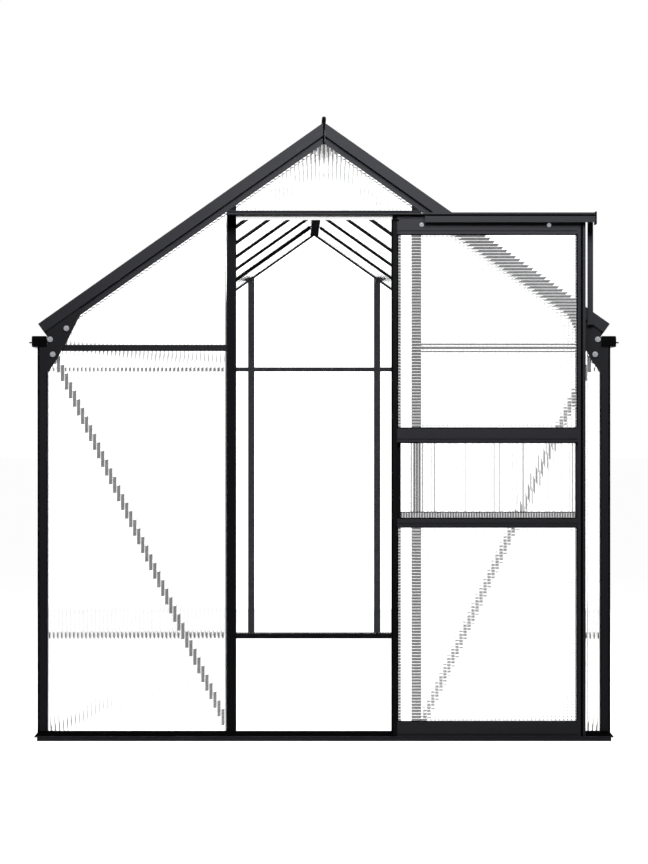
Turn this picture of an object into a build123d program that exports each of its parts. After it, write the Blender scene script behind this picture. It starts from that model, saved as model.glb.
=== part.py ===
"""Aluminium-framed garden greenhouse: gable ends, pitched roof, one roof vent and one sliding door."""

import os
from math import cos, radians, sin, tan

from build123d import *

# Overall frame, in millimetres: x across the gable, y from the front gable back, z up from the ground
frame_width = 1851.0
frame_length = 3660.0
eave_height = 1268.0
pitch_angle = 35.2
roof_lift = 72.8
bay_count = 6

# Stock: wall of the aluminium profiles, twin-wall sheet, depth of the profiles, play round parts
skin = 3.0
sheet = 4.0
stem_depth = 22.0
bar_flange = 30.0
bar_box = 20.0
wall_bar_depth = 11.0
play = 0.3
sheet_gap = 1.0

# Sills and corner posts
sill_height = 27.2
sill_upstand = 20.0
drip_reach = 12.0
drip_root_high = 22.3
drip_root_low = 7.0
drip_tip_high = 7.0
drip_tip_low = 5.0
corner_width = 34.0
corner_rib_inset = 6.5
corner_rib_width = 23.0
corner_rib_rise = 3.0
corner_tuck = 12.0

# Gable posts, mid rails and braces
door_opening = 567.4
post_width = 30.4
post_stem_width = 14.0
rail_height = 20.7
rail_box = 18.8
rail_drop = 13.6
back_rail_rise = 12.0
brace_width = 22.0
brace_thickness = 3.0
brace_head_inset = 6.2
brace_foot_height = 22.0

# Gutters and their end caps
gutter_width = 49.0
gutter_overhang = 18.5
gutter_depth = 35.0
cap_reach = 4.0
cap_round = 7.0
cap_nib_reach = 8.0
cap_nib_height = 4.0
cap_nib_drop = 4.0
cap_chamfer = 3.0

# Roof: depths are measured square to the slope, down from the top edge of the gable rafters
barge_rise = 33.8
barge_drop = 21.1
barge_proud = 6.0
barge_return = 20.0
barge_setback = 2.2
rafter_ledge = 48.0
bar_top = 54.5
bar_stem = 11.5
sheet_overhang = 14.0
ridge_web = 6.0
ridge_bulb_width = 13.0
ridge_bulb_height = 14.0
ridge_rise = 18.5
ridge_wing = 45.0
ridge_foot_width = 40.0
ridge_recess = 2.0

# Gusset plates at the eaves
gusset_thickness = 3.0
gusset_rise_inset = 104.5
gusset_waist_inset = 56.0
gusset_rail_inset = 42.5
gusset_foot_inset = 31.5
gusset_foot_drop = 36.0
gusset_drop = 83.0

# Roof vent, closed, on the left slope
vent_bay = 4
vent_reach = 495.0
vent_frame_width = 30.0
vent_lap = 20.0

# Door opening head and sliding-door tracks
header_height = 14.6
header_lap = 2.8
header_depth = 12.0
header_groove_drop = 3.3
header_groove_width = 3.2
header_groove_depth = 4.0
header_sheet_lap = 13.0
door_slide = 529.0
door_lap = 28.5
door_gap = 15.0
door_thickness = 22.0
door_floor_gap = 10.0
track_clear = 6.0
floor_lip_height = 15.0
floor_track_setback = 3.0
track_flange = 3.5
track_overrun = 30.5
track_lip_drop = 26.0
track_lip_rise = 5.7
track_lip_start = 9.4
track_bead_width = 2.5
track_bead_drop = 2.5
track_cap_thickness = 4.5
track_cap_drop = 32.0
track_cap_rise = 8.5
strut_width = 18.1
strut_thickness = 4.0
strut_inset = 3.0

# Sliding door
leading_stile = 18.6
leading_lip = 12.0
trailing_stile = 25.4
trailing_lip = 7.1
stile_lip_inset = 10.0
door_top_rail = 48.1
upper_rail_height = 960.2
upper_rail_width = 44.5
lower_rail_height = 688.5
lower_rail_width = 25.0
lower_rail_upstand = 22.0
door_bottom_rail = 50.2
rail_groove_height = 9.0
rail_groove_width = 2.0
rail_groove_depth = 1.5
guide_height = 15.1
guide_length = 103.0
guide_width = 16.0
guide_inset = 5.0
guide_slot_play = 0.75
guide_lift_play = 0.6
roller_diameter = 24.0
roller_width = 10.0
roller_inset = 70.0
roller_play = 1.0
axle_diameter = 6.0

# Derived planes and levels
pitch = radians(pitch_angle)
half_width = frame_width / 2
apex_height = eave_height + roof_lift + half_width * tan(pitch)
front_reach = door_gap + door_thickness + track_clear + skin
front_face = front_reach - (front_reach + frame_length + barge_proud) / 2
back_face = front_face + frame_length
middle = (front_face + back_face) / 2
bay = frame_length / bay_count
bar_places = [front_face + bay * number for number in range(1, bay_count)]
sheet_front = front_face + skin
sheet_back = sheet_front + sheet
slot_back = sheet_back + sheet_gap
back_slot = back_face - skin - sheet - sheet_gap
stem_back = front_face + stem_depth
corner_inner = half_width - corner_width
post_reach = (door_opening + post_width) / 2
post_outer = post_reach + post_width / 2
post_inner = post_reach - post_width / 2
post_stem_outer = post_reach + post_stem_width / 2
post_stem_inner = post_reach - post_stem_width / 2
rail_bottom = eave_height - rail_drop
rail_top = rail_bottom + rail_height
rail_stem_low = (rail_bottom + rail_top - skin) / 2
rail_stem_high = rail_stem_low + skin
rail_box_low = (rail_bottom + rail_top - rail_box) / 2
rail_box_high = rail_box_low + rail_box
rafter_edge = barge_rise + barge_drop
sheet_top = bar_top + skin
sheet_under = sheet_top + sheet
sheet_bed = sheet_under + sheet_gap
bar_edge = sheet_top + bar_stem
barge_reach = half_width - barge_setback
gutter_inner = half_width + gutter_overhang - gutter_width
gutter_outer = half_width + gutter_overhang
gutter_rim = eave_height + gutter_depth
sheet_end = gutter_inner + skin + sheet_overhang
ridge_half = ridge_web / 2
ridge_clear = ridge_half + play
across_middle = Plane.XZ.offset(-middle)


def roof_height(reach, depth):
    """Height of the right slope at a reach from the centre line, at a depth square to the slope."""
    return apex_height - reach * tan(pitch) - depth / cos(pitch)


def box_outline(low_a, high_a, low_b, high_b):
    """The four corners of a rectangle between two pairs of edges."""
    return [(low_a, low_b), (high_a, low_b), (high_a, high_b), (low_a, high_b)]


def slope_outline(inner, outer, depth_top, depth_under):
    """A strip of the right slope in x and z, cut upright at both ends."""
    top = [(reach, roof_height(reach, depth_top)) for reach in (inner, outer)]
    under = [(reach, roof_height(reach, depth_under)) for reach in (outer, inner)]
    return top + under


def left_slope(inner, outer, depth_top, depth_under):
    """The same strip on the left slope."""
    return [(-x, z) for x, z in slope_outline(inner, outer, depth_top, depth_under)]


def rafter_outline(depth_top, depth_under):
    """A strip of the right gable rafter in x and z: upright at the ridge, square-cut at the eave."""
    end_height = apex_height - barge_reach * tan(pitch)
    end = [
        (barge_reach - depth * sin(pitch), end_height - depth * cos(pitch))
        for depth in (depth_top, depth_under)
    ]
    ridge = [(ridge_clear, roof_height(ridge_clear, depth)) for depth in (depth_under, depth_top)]
    return end + ridge


def drawn(plane, points):
    """A flat face with the given corners, on a plane."""
    with BuildSketch(plane) as outline:
        with BuildLine():
            Polyline(*points, close=True)
        make_face()
    return outline.sketch


def along_x(points, start, end, mode=Mode.ADD):
    """Run a y-z outline across the gable."""
    extrude(drawn(Plane.YZ.offset(start), points), amount=end - start, dir=(1, 0, 0), mode=mode)


def along_y(points, start, end, mode=Mode.ADD):
    """Run an x-z outline along the length."""
    extrude(drawn(Plane.XZ.offset(-start), points), amount=end - start, dir=(0, 1, 0), mode=mode)


def along_z(points, start, end, mode=Mode.ADD):
    """Run an x-y outline upwards."""
    extrude(drawn(Plane.XY.offset(start), points), amount=end - start, dir=(0, 0, 1), mode=mode)


# Sills: channels on the ground that take the foot of the sheets, the side ones with a sloping drip fin
sill_inner = half_width - stem_depth
with BuildPart() as front_sill:
    along_x(box_outline(front_face, sheet_front, 0, sill_height), -half_width, half_width)
    along_x(box_outline(sheet_front, stem_back, 0, skin), -sill_inner, sill_inner)
    along_x(box_outline(stem_back - skin, stem_back, skin, sill_upstand), -sill_inner, sill_inner)

with BuildPart() as back_sill:
    mirror(front_sill.part, about=across_middle)

with BuildPart() as side_sills:
    along_y(
        [
            (sill_inner, 0),
            (half_width, 0),
            (half_width, drip_root_low),
            (half_width + drip_reach - skin, drip_tip_low),
            (half_width + drip_reach, drip_tip_high),
            (half_width, drip_root_high),
            (half_width, sill_height),
            (half_width - skin, sill_height),
            (half_width - skin, skin),
            (sill_inner + skin, skin),
            (sill_inner + skin, sill_upstand),
            (sill_inner, sill_upstand),
        ],
        sheet_front,
        back_face - skin,
    )
    mirror(about=Plane.YZ)

# Corner posts: angles with a raised rib down the gable face
corner_rib_outer = half_width - corner_rib_inset
corner_rib_inner = corner_rib_outer - corner_rib_width
with BuildPart() as corner_posts:
    along_z(
        [
            (corner_inner, front_face),
            (corner_rib_inner, front_face),
            (corner_rib_inner, front_face - corner_rib_rise),
            (corner_rib_outer, front_face - corner_rib_rise),
            (corner_rib_outer, front_face),
            (half_width, front_face),
            (half_width, front_face + corner_width),
            (half_width - skin, front_face + corner_width),
            (half_width - skin, sheet_front),
            (corner_inner, sheet_front),
        ],
        sill_height,
        eave_height,
    )
    mirror(about=Plane.YZ)
    mirror(about=across_middle)

# Gable posts: a flange cut to the slope of the rafters, a stem between the sheets and a box behind them
post_box_top = roof_height(post_outer, bar_edge + play)
with BuildPart() as front_door_posts:
    along_y(
        [
            (post_inner, sill_height),
            (post_outer, sill_height),
            (post_outer, roof_height(post_outer, rafter_edge)),
            (post_inner, roof_height(post_inner, rafter_edge)),
        ],
        front_face,
        sheet_front,
    )
    along_y(
        box_outline(post_stem_inner, post_stem_outer, sill_height, post_box_top), sheet_front, slot_back
    )
    along_y(box_outline(post_inner, post_outer, sill_height, post_box_top), slot_back, stem_back)
    mirror(about=Plane.YZ)

with BuildPart() as back_gable_posts:
    mirror(front_door_posts.part, about=across_middle)

# Mid rails at eave height: flange outside, stem between the sheets, box inside


def mid_rail(start, end, rise):
    """A stretch of mid rail between two posts of the front gable, raised from its usual level."""
    for near, far, low, high in (
        (front_face, sheet_front, rail_bottom, rail_top),
        (sheet_front, slot_back, rail_stem_low, rail_stem_high),
        (slot_back, stem_back, rail_box_low, rail_box_high),
    ):
        along_x(box_outline(near, far, low + rise, high + rise), start, end)


with BuildPart() as front_mid_rails:
    mid_rail(post_outer, corner_inner, 0)
    mirror(about=Plane.YZ)

with BuildPart() as raised_mid_rails:
    mid_rail(post_outer, corner_inner, back_rail_rise)
    mid_rail(-post_inner, post_inner, back_rail_rise)
    mid_rail(-corner_inner, -post_outer, back_rail_rise)

with BuildPart() as back_mid_rails:
    mirror(raised_mid_rails.part, about=across_middle)

# Wall bars: uprights between the sill and the gutter, in the layers of the gable posts, but slimmer
wall_layers = [
    (half_width - skin, half_width, bar_flange),
    (half_width - skin - sheet - sheet_gap, half_width - skin, skin),
    (half_width - wall_bar_depth, half_width - skin - sheet - sheet_gap, bar_box),
]
with BuildPart() as wall_bars:
    for place in bar_places:
        for inner, outer, width in wall_layers:
            along_z(
                box_outline(inner, outer, place - width / 2, place + width / 2),
                sill_height,
                eave_height,
            )
    mirror(about=Plane.YZ)

# Gutters: open channels on the wall bars, the inner wall cut to carry the roof bars
with BuildPart() as right_gutter:
    along_y(
        [
            (gutter_inner, eave_height),
            (gutter_outer, eave_height),
            (gutter_outer, gutter_rim),
            (gutter_outer - skin, gutter_rim),
            (gutter_outer - skin, eave_height + skin),
            (gutter_inner + skin, eave_height + skin),
            (gutter_inner + skin, roof_height(gutter_inner + skin, bar_edge)),
            (gutter_inner, roof_height(gutter_inner, bar_edge)),
        ],
        sheet_front,
        back_face - skin,
    )

with BuildPart() as left_gutter:
    mirror(right_gutter.part, about=Plane.YZ)

# End caps of the gutters: moulded plugs with a small nib
nib_middle = (eave_height + gutter_rim) / 2 - cap_nib_drop
with BuildPart() as gutter_end_caps:
    along_y(
        [
            (gutter_inner, eave_height),
            (gutter_outer, eave_height),
            (gutter_outer, gutter_rim),
            (gutter_inner + cap_chamfer, gutter_rim),
            (gutter_inner, gutter_rim - cap_chamfer),
        ],
        front_face - cap_reach,
        sheet_front,
    )
    fillet(gutter_end_caps.edges().filter_by(Axis.Y).group_by(Axis.X)[-1], radius=cap_round)
    along_y(
        box_outline(
            gutter_outer - skin,
            gutter_outer + cap_nib_reach,
            nib_middle - cap_nib_height / 2,
            nib_middle + cap_nib_height / 2,
        ),
        front_face - cap_reach,
        sheet_front,
    )
    mirror(about=Plane.YZ)
    mirror(about=across_middle)

# Gable rafters: a proud barge band with a step, a lower band, a return, a slot that takes the gable
# sheets from below, and a ledge over the edge of the roof sheets; the back pair has a leg that
# closes the ends of the roof sheets, level with the roof bars
with BuildPart() as gable_rafters:
    along_y(rafter_outline(0, barge_rise), front_face - barge_proud, front_face - barge_proud + skin)
    along_y(rafter_outline(0, skin), front_face - barge_proud + skin, front_face + barge_return)
    along_y(rafter_outline(barge_rise - skin, barge_rise), front_face - barge_proud + skin, sheet_front)
    along_y(rafter_outline(barge_rise, rafter_edge), front_face, sheet_front)
    along_y(rafter_outline(rafter_ledge, rafter_ledge + skin), sheet_front, stem_back + skin)
    along_y(rafter_outline(rafter_ledge + skin, rafter_edge), slot_back, slot_back + skin)
    mirror(about=across_middle)
    along_y(rafter_outline(rafter_ledge + skin, bar_edge - play), back_slot - skin, back_slot)
    mirror(about=Plane.YZ)

# Ridge beam: a web with a round-topped bead, a foot between the bars and wings over the sheets
ridge_top = apex_height + ridge_rise
ridge_foot = roof_height(0, bar_edge)
ridge_nose_low = roof_height(0, rafter_ledge)
ridge_start = front_face - barge_proud + ridge_recess
ridge_end = back_face + barge_proud - ridge_recess
with BuildPart() as ridge_beam:
    along_y(
        box_outline(-ridge_half, ridge_half, ridge_nose_low, ridge_top - ridge_bulb_height / 2),
        ridge_start,
        ridge_end,
    )
    along_y(
        box_outline(
            -ridge_bulb_width / 2, ridge_bulb_width / 2, ridge_top - ridge_bulb_height, ridge_top
        ),
        ridge_start,
        ridge_end,
    )
    fillet(
        ridge_beam.edges().filter_by(Axis.Y).group_by(Axis.Z)[-1], radius=ridge_bulb_width / 2 - play
    )
    along_y(
        box_outline(-ridge_half, ridge_half, ridge_foot, ridge_nose_low),
        slot_back,
        back_slot,
    )
    along_y(
        box_outline(-ridge_foot_width / 2, ridge_foot_width / 2, ridge_foot, ridge_foot + skin),
        slot_back,
        back_slot - skin - play,
    )
    for wing in (slope_outline, left_slope):
        along_y(
            wing(0, ridge_wing, bar_top - skin, bar_top),
            slot_back + skin + play,
            back_slot - skin - play,
        )

# Roof bars: from the ridge down to the gutter's inner wall, with the sheets held in their slots
roof_layers = [
    (ridge_foot_width / 2, sheet_end, bar_top, sheet_top, bar_flange),
    (ridge_foot_width / 2, gutter_inner + skin, sheet_top, sheet_bed, skin),
    (ridge_foot_width / 2, gutter_inner + skin, sheet_bed, bar_edge, bar_box),
]
with BuildPart() as roof_bars:
    for place in bar_places:
        for inner, outer, depth_top, depth_under, width in roof_layers:
            along_y(
                slope_outline(inner, outer, depth_top, depth_under), place - width / 2, place + width / 2
            )
    mirror(about=Plane.YZ)

# Gusset plates over the joint of corner post, mid rail and rafter
gusset_outer = corner_rib_inner - play
gusset_top_outer = gutter_inner - sheet_gap
gusset_depth = barge_rise + play
gusset_tip = corner_inner - gusset_rise_inset
with BuildPart() as gusset_plates:
    along_y(
        [
            (gusset_tip, roof_height(gusset_tip, rafter_edge)),
            (gusset_tip, roof_height(gusset_tip, gusset_depth)),
            (gusset_top_outer, roof_height(gusset_top_outer, gusset_depth)),
            (gusset_top_outer, eave_height),
            (gusset_outer, eave_height),
            (gusset_outer, eave_height - gusset_drop),
            (corner_inner, eave_height - gusset_drop),
            (corner_inner - gusset_foot_inset, eave_height - gusset_foot_drop),
            (corner_inner - gusset_rail_inset, rail_bottom),
            (corner_inner - gusset_waist_inset, rail_top),
        ],
        front_face - gusset_thickness,
        front_face,
    )
    mirror(about=Plane.YZ)
    mirror(about=across_middle)

# Diagonal braces inside the front gable, from the rail by the corner down to the foot of the door post
brace_head = (corner_inner - brace_head_inset, rail_stem_high)
brace_foot = (post_stem_outer - sheet_gap, brace_foot_height)
brace_run = Vector(*brace_foot) - Vector(*brace_head)
brace_side = brace_run.normalized().rotate(Axis.Z, 90) * (brace_width / 2)
brace_outline = [
    tuple(Vector(*end) + side)[:2]
    for end, side in (
        (brace_head, brace_side),
        (brace_foot, brace_side),
        (brace_foot, -brace_side),
        (brace_head, -brace_side),
    )
]
with BuildPart() as diagonal_braces:
    along_y(brace_outline, stem_back, stem_back + brace_thickness)
    mirror(about=Plane.YZ)

# Gable sheets: below and above the mid rails, and over the door
gable_outer = corner_inner + corner_tuck
gable_upper_outer = gutter_inner - sheet_gap
gable_inner = post_stem_outer + sheet_gap
gable_centre = post_stem_inner - sheet_gap
gable_floor = skin + sheet_gap
gable_edge = rafter_ledge + skin + play
header_top = roof_height(post_outer, rafter_edge) + header_lap
header_bottom = header_top - header_height


def below_rail(inner, outer, rise):
    """The sheet between the sill and the mid rail."""
    return box_outline(inner, outer, gable_floor, rail_stem_low - sheet_gap + rise)


def above_rail(rise):
    """The sheet between the mid rail and the rafter."""
    return [
        (gable_inner, rail_stem_high + sheet_gap + rise),
        (gable_upper_outer, rail_stem_high + sheet_gap + rise),
        (gable_upper_outer, roof_height(gable_upper_outer, gable_edge)),
        (gable_inner, roof_height(gable_inner, gable_edge)),
    ]


def gable_head(sill):
    """The five-sided sheet under the ridge, from a level up to the rafters."""
    return [
        (-gable_centre, sill),
        (gable_centre, sill),
        (gable_centre, roof_height(gable_centre, gable_edge)),
        (0, roof_height(0, gable_edge)),
        (-gable_centre, roof_height(gable_centre, gable_edge)),
    ]


with BuildPart() as front_gable_panels:
    along_y(below_rail(gable_inner, gable_outer, 0), sheet_front, sheet_back)
    along_y(above_rail(0), sheet_front, sheet_back)
    mirror(about=Plane.YZ)
    along_y(gable_head(header_bottom - header_sheet_lap), sheet_front, sheet_back)

back_sheet = (back_face - skin - sheet, back_face - skin)
with BuildPart() as back_gable_panels:
    along_y(below_rail(gable_inner, gable_upper_outer, back_rail_rise), *back_sheet)
    along_y(above_rail(back_rail_rise), *back_sheet)
    mirror(about=Plane.YZ)
    along_y(below_rail(-gable_centre, gable_centre, back_rail_rise), *back_sheet)
    along_y(gable_head(rail_stem_high + sheet_gap + back_rail_rise), *back_sheet)

# Side wall and roof sheets, one to a bay, with play round the stems of the bars
stem_play = skin / 2 + sheet_gap
bay_lines = [front_face, *bar_places, back_face]


def bay_span(number, edge):
    """The two ends of the sheet in a bay, set in from the gables by an edge."""
    start = bay_lines[number] + (edge if number == 0 else stem_play)
    end = bay_lines[number + 1] - (edge if number == bay_count - 1 else stem_play)
    return start, end


with BuildPart() as right_wall_panels:
    for number in range(bay_count):
        along_y(
            box_outline(
                half_width - skin - sheet, half_width - skin, gable_floor, eave_height - sheet_gap
            ),
            *bay_span(number, corner_tuck),
        )

with BuildPart() as left_wall_panels:
    mirror(right_wall_panels.part, about=Plane.YZ)

roof_edge = slot_back + skin + sheet_gap - front_face
roof_sheet_start = ridge_foot_width / 2 + sheet_gap
with BuildPart() as right_roof_panels:
    for number in range(bay_count):
        along_y(
            slope_outline(roof_sheet_start, sheet_end, sheet_top, sheet_under),
            *bay_span(number, roof_edge),
        )

with BuildPart() as left_roof_panels:
    for number in range(bay_count):
        start = vent_reach if number == vent_bay else roof_sheet_start
        along_y(
            left_slope(start, sheet_end, sheet_top, sheet_under),
            *bay_span(number, roof_edge),
        )

# Roof vent: a flat frame on the bars with its own sheet, and a cross bar under its lower edge
vent_start, vent_end = bay_span(vent_bay, roof_edge)
vent_top = ridge_wing + sheet_gap
vent_foot = vent_reach + skin
flange_side = bar_flange / 2 + sheet_gap
with BuildPart() as roof_vent_frame:
    for inner in (vent_top, vent_foot - vent_frame_width):
        along_y(
            left_slope(inner, inner + vent_frame_width, bar_top - skin, bar_top), vent_start, vent_end
        )
    for place in (vent_start, vent_end - vent_frame_width):
        along_y(
            left_slope(
                vent_top + vent_frame_width + play,
                vent_foot - vent_frame_width - play,
                bar_top - skin,
                bar_top,
            ),
            place,
            place + vent_frame_width,
        )

with BuildPart() as roof_vent_panel:
    along_y(
        left_slope(roof_sheet_start, vent_foot - vent_lap, bar_top, bar_top + sheet),
        bay_lines[vent_bay] + flange_side,
        bay_lines[vent_bay + 1] - flange_side,
    )

with BuildPart() as roof_vent_bar:
    along_y(
        left_slope(vent_reach - vent_lap, vent_reach + vent_lap, sheet_under, sheet_under + skin),
        bay_lines[vent_bay] + bar_box / 2,
        bay_lines[vent_bay + 1] - bar_box / 2,
    )
    along_y(
        left_slope(vent_reach - sheet_gap - skin, vent_reach - sheet_gap, bar_top, sheet_under),
        bay_lines[vent_bay] + flange_side,
        bay_lines[vent_bay + 1] - flange_side,
    )

# Head of the door opening, and the tracks that the door runs in
door_back = front_face - door_gap
door_front = door_back - door_thickness
track_inner = door_front - track_clear
track_front = track_inner - skin
door_width = door_opening + 2 * door_lap
door_left = door_slide - door_width / 2
door_right = door_slide + door_width / 2
door_axis = (door_front + door_back) / 2
track_end = door_right + track_overrun
track_wall = front_face - barge_proud
header_front = front_face - header_depth
with BuildPart() as door_header:
    along_x(
        box_outline(header_front, front_face, header_bottom, header_top), -post_outer, post_outer
    )
    along_x(
        box_outline(
            header_front,
            header_front + header_groove_depth,
            header_top - header_groove_drop - header_groove_width,
            header_top - header_groove_drop,
        ),
        -post_outer,
        post_outer,
        mode=Mode.SUBTRACT,
    )

with BuildPart() as door_track:
    along_x(
        box_outline(track_inner, header_front, header_bottom, header_bottom + track_flange),
        -post_outer,
        track_end,
    )
    along_x(
        box_outline(header_front, track_wall, header_bottom, header_bottom + track_flange),
        post_outer + play,
        track_end,
    )

with BuildPart() as track_lip:
    along_x(
        box_outline(
            track_front, track_inner, header_bottom - track_lip_drop, header_bottom + track_lip_rise
        ),
        post_outer + track_lip_start,
        track_end,
    )

with BuildPart() as track_guide_bar:
    along_x(
        box_outline(
            door_axis - track_bead_width / 2,
            door_axis + track_bead_width / 2,
            header_bottom - track_bead_drop,
            header_bottom,
        ),
        -post_outer,
        track_end,
    )

with BuildPart() as track_end_cap:
    along_x(
        box_outline(
            track_front,
            track_wall,
            header_bottom - track_cap_drop,
            header_bottom + track_cap_rise,
        ),
        track_end,
        track_end + track_cap_thickness,
    )

strut_outer = track_end - strut_inset
with BuildPart() as track_strut:
    along_y(
        box_outline(
            strut_outer - strut_width,
            strut_outer,
            roof_height(strut_outer, barge_rise),
            header_bottom,
        ),
        track_wall - strut_thickness,
        track_wall,
    )

floor_track_half = half_width - floor_track_setback
with BuildPart() as door_floor_track:
    along_x(box_outline(track_front, front_face, 0, skin), -floor_track_half, floor_track_half)

with BuildPart() as floor_track_lip:
    along_x(
        box_outline(track_front, track_inner, skin, floor_lip_height), -floor_track_half, floor_track_half
    )

# Sliding door, at rest where it stands open: stiles, rails, three sheets, guides and rollers
door_top = header_bottom - guide_height
stile_inner_left = door_left + leading_stile
stile_inner_right = door_right - trailing_stile
bottom_rail_top = door_floor_gap + door_bottom_rail
top_rail_bottom = door_top - door_top_rail
lower_rail_top = lower_rail_height + lower_rail_width
upper_rail_top = upper_rail_height + upper_rail_width
lights = [
    (bottom_rail_top, lower_rail_height),
    (lower_rail_top, upper_rail_height),
    (upper_rail_top, top_rail_bottom),
]
lip_front = door_front + stile_lip_inset
lip_back = lip_front + skin


def stile(outer, inner, lip):
    """An upright of the door: a box the full height, with a glazing lip beside each light."""
    along_z(box_outline(outer, inner, door_front, door_back), door_floor_gap, door_top)
    for low, high in lights:
        along_z(box_outline(inner, inner + lip, lip_front, lip_back), low, high)


with BuildPart() as door_left_stile:
    stile(door_left, stile_inner_left, leading_lip)

with BuildPart() as door_right_stile:
    stile(door_right, stile_inner_right, -trailing_lip)


def rail(low, high):
    """A cross rail of the door between its stiles, with a shadow groove near its lower edge."""
    along_x(box_outline(door_front, door_back, low, high), stile_inner_left, stile_inner_right)
    along_x(
        box_outline(
            door_front,
            door_front + rail_groove_depth,
            low + rail_groove_height,
            low + rail_groove_height + rail_groove_width,
        ),
        stile_inner_left,
        stile_inner_right,
        mode=Mode.SUBTRACT,
    )


with BuildPart() as door_top_rail_bar:
    rail(top_rail_bottom, door_top)

with BuildPart() as door_upper_rail:
    rail(upper_rail_height, upper_rail_top)

with BuildPart() as door_lower_rail:
    rail(lower_rail_height, lower_rail_top)
    along_x(
        box_outline(door_back - skin, door_back, lower_rail_top, lower_rail_top + lower_rail_upstand),
        stile_inner_left,
        stile_inner_right,
    )

roller_radius = roller_diameter / 2
roller_axle_height = skin + play + roller_radius
roller_places = (door_left + roller_inset, door_right - roller_inset)
pocket_front = door_axis - roller_width / 2 - roller_play
pocket_back = door_axis + roller_width / 2 + roller_play
with BuildPart() as door_bottom_rail_bar:
    rail(door_floor_gap, bottom_rail_top)
    for place in roller_places:
        along_x(
            box_outline(
                pocket_front,
                pocket_back,
                door_floor_gap,
                roller_axle_height + roller_radius + roller_play,
            ),
            place - roller_radius - roller_play,
            place + roller_radius + roller_play,
            mode=Mode.SUBTRACT,
        )

with BuildPart() as door_rollers:
    for place in roller_places:
        wheel_plane = Plane.XZ.offset(-(door_axis - roller_width / 2))
        axle_plane = Plane.XZ.offset(-pocket_front)
        with BuildSketch(wheel_plane):
            with Locations((place, roller_axle_height)):
                Circle(roller_radius)
        extrude(amount=-roller_width)
        with BuildSketch(axle_plane):
            with Locations((place, roller_axle_height)):
                Circle(axle_diameter / 2)
        extrude(amount=pocket_front - pocket_back)

guide_top = header_bottom - guide_lift_play
slot_half = track_bead_width / 2 + guide_slot_play
guide_starts = (door_left + guide_inset, door_right - guide_inset - guide_length)
with BuildPart() as door_top_guides:
    for start in guide_starts:
        for near, far in ((-guide_width / 2, -slot_half), (slot_half, guide_width / 2)):
            along_x(
                box_outline(door_axis + near, door_axis + far, door_top, guide_top),
                start,
                start + guide_length,
            )


def door_light(number, back):
    """The sheet of one light of the door, with play inside its stiles and rails."""
    low, high = lights[number]
    along_y(
        box_outline(
            stile_inner_left + sheet_gap, stile_inner_right - sheet_gap, low + sheet_gap, high - sheet_gap
        ),
        back - sheet,
        back,
    )


with BuildPart() as door_lower_panel:
    door_light(0, lip_front)

with BuildPart() as door_middle_panel:
    door_light(1, lip_back + sheet)

with BuildPart() as door_upper_panel:
    door_light(2, lip_front)

# One file for each named piece
pieces = {
    "front_sill": front_sill,
    "back_sill": back_sill,
    "side_sills": side_sills,
    "corner_posts": corner_posts,
    "front_door_posts": front_door_posts,
    "back_gable_posts": back_gable_posts,
    "front_mid_rails": front_mid_rails,
    "back_mid_rails": back_mid_rails,
    "wall_bars": wall_bars,
    "left_gutter": left_gutter,
    "right_gutter": right_gutter,
    "gutter_end_caps": gutter_end_caps,
    "gable_rafters": gable_rafters,
    "ridge_beam": ridge_beam,
    "roof_bars": roof_bars,
    "gusset_plates": gusset_plates,
    "diagonal_braces": diagonal_braces,
    "front_gable_panels": front_gable_panels,
    "back_gable_panels": back_gable_panels,
    "left_wall_panels": left_wall_panels,
    "right_wall_panels": right_wall_panels,
    "left_roof_panels": left_roof_panels,
    "right_roof_panels": right_roof_panels,
    "roof_vent_frame": roof_vent_frame,
    "roof_vent_panel": roof_vent_panel,
    "roof_vent_bar": roof_vent_bar,
    "door_header": door_header,
    "door_track": door_track,
    "track_lip": track_lip,
    "track_guide_bar": track_guide_bar,
    "track_end_cap": track_end_cap,
    "track_strut": track_strut,
    "door_floor_track": door_floor_track,
    "floor_track_lip": floor_track_lip,
    "door_left_stile": door_left_stile,
    "door_right_stile": door_right_stile,
    "door_top_rail": door_top_rail_bar,
    "door_upper_rail": door_upper_rail,
    "door_lower_rail": door_lower_rail,
    "door_bottom_rail": door_bottom_rail_bar,
    "door_upper_panel": door_upper_panel,
    "door_middle_panel": door_middle_panel,
    "door_lower_panel": door_lower_panel,
    "door_top_guides": door_top_guides,
    "door_rollers": door_rollers,
}
os.makedirs("parts", exist_ok=True)
for name, piece in pieces.items():
    piece.part.label = name
    export_step(piece.part, f"parts/{name}.step")
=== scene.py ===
"""Looks of the garden greenhouse: dark frame, ribbed clear sheets, sliding door, white studio."""

from math import cos, pi, radians, sin

import bmesh
import bpy
import numpy as np
from mathutils import Matrix, Vector


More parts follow.
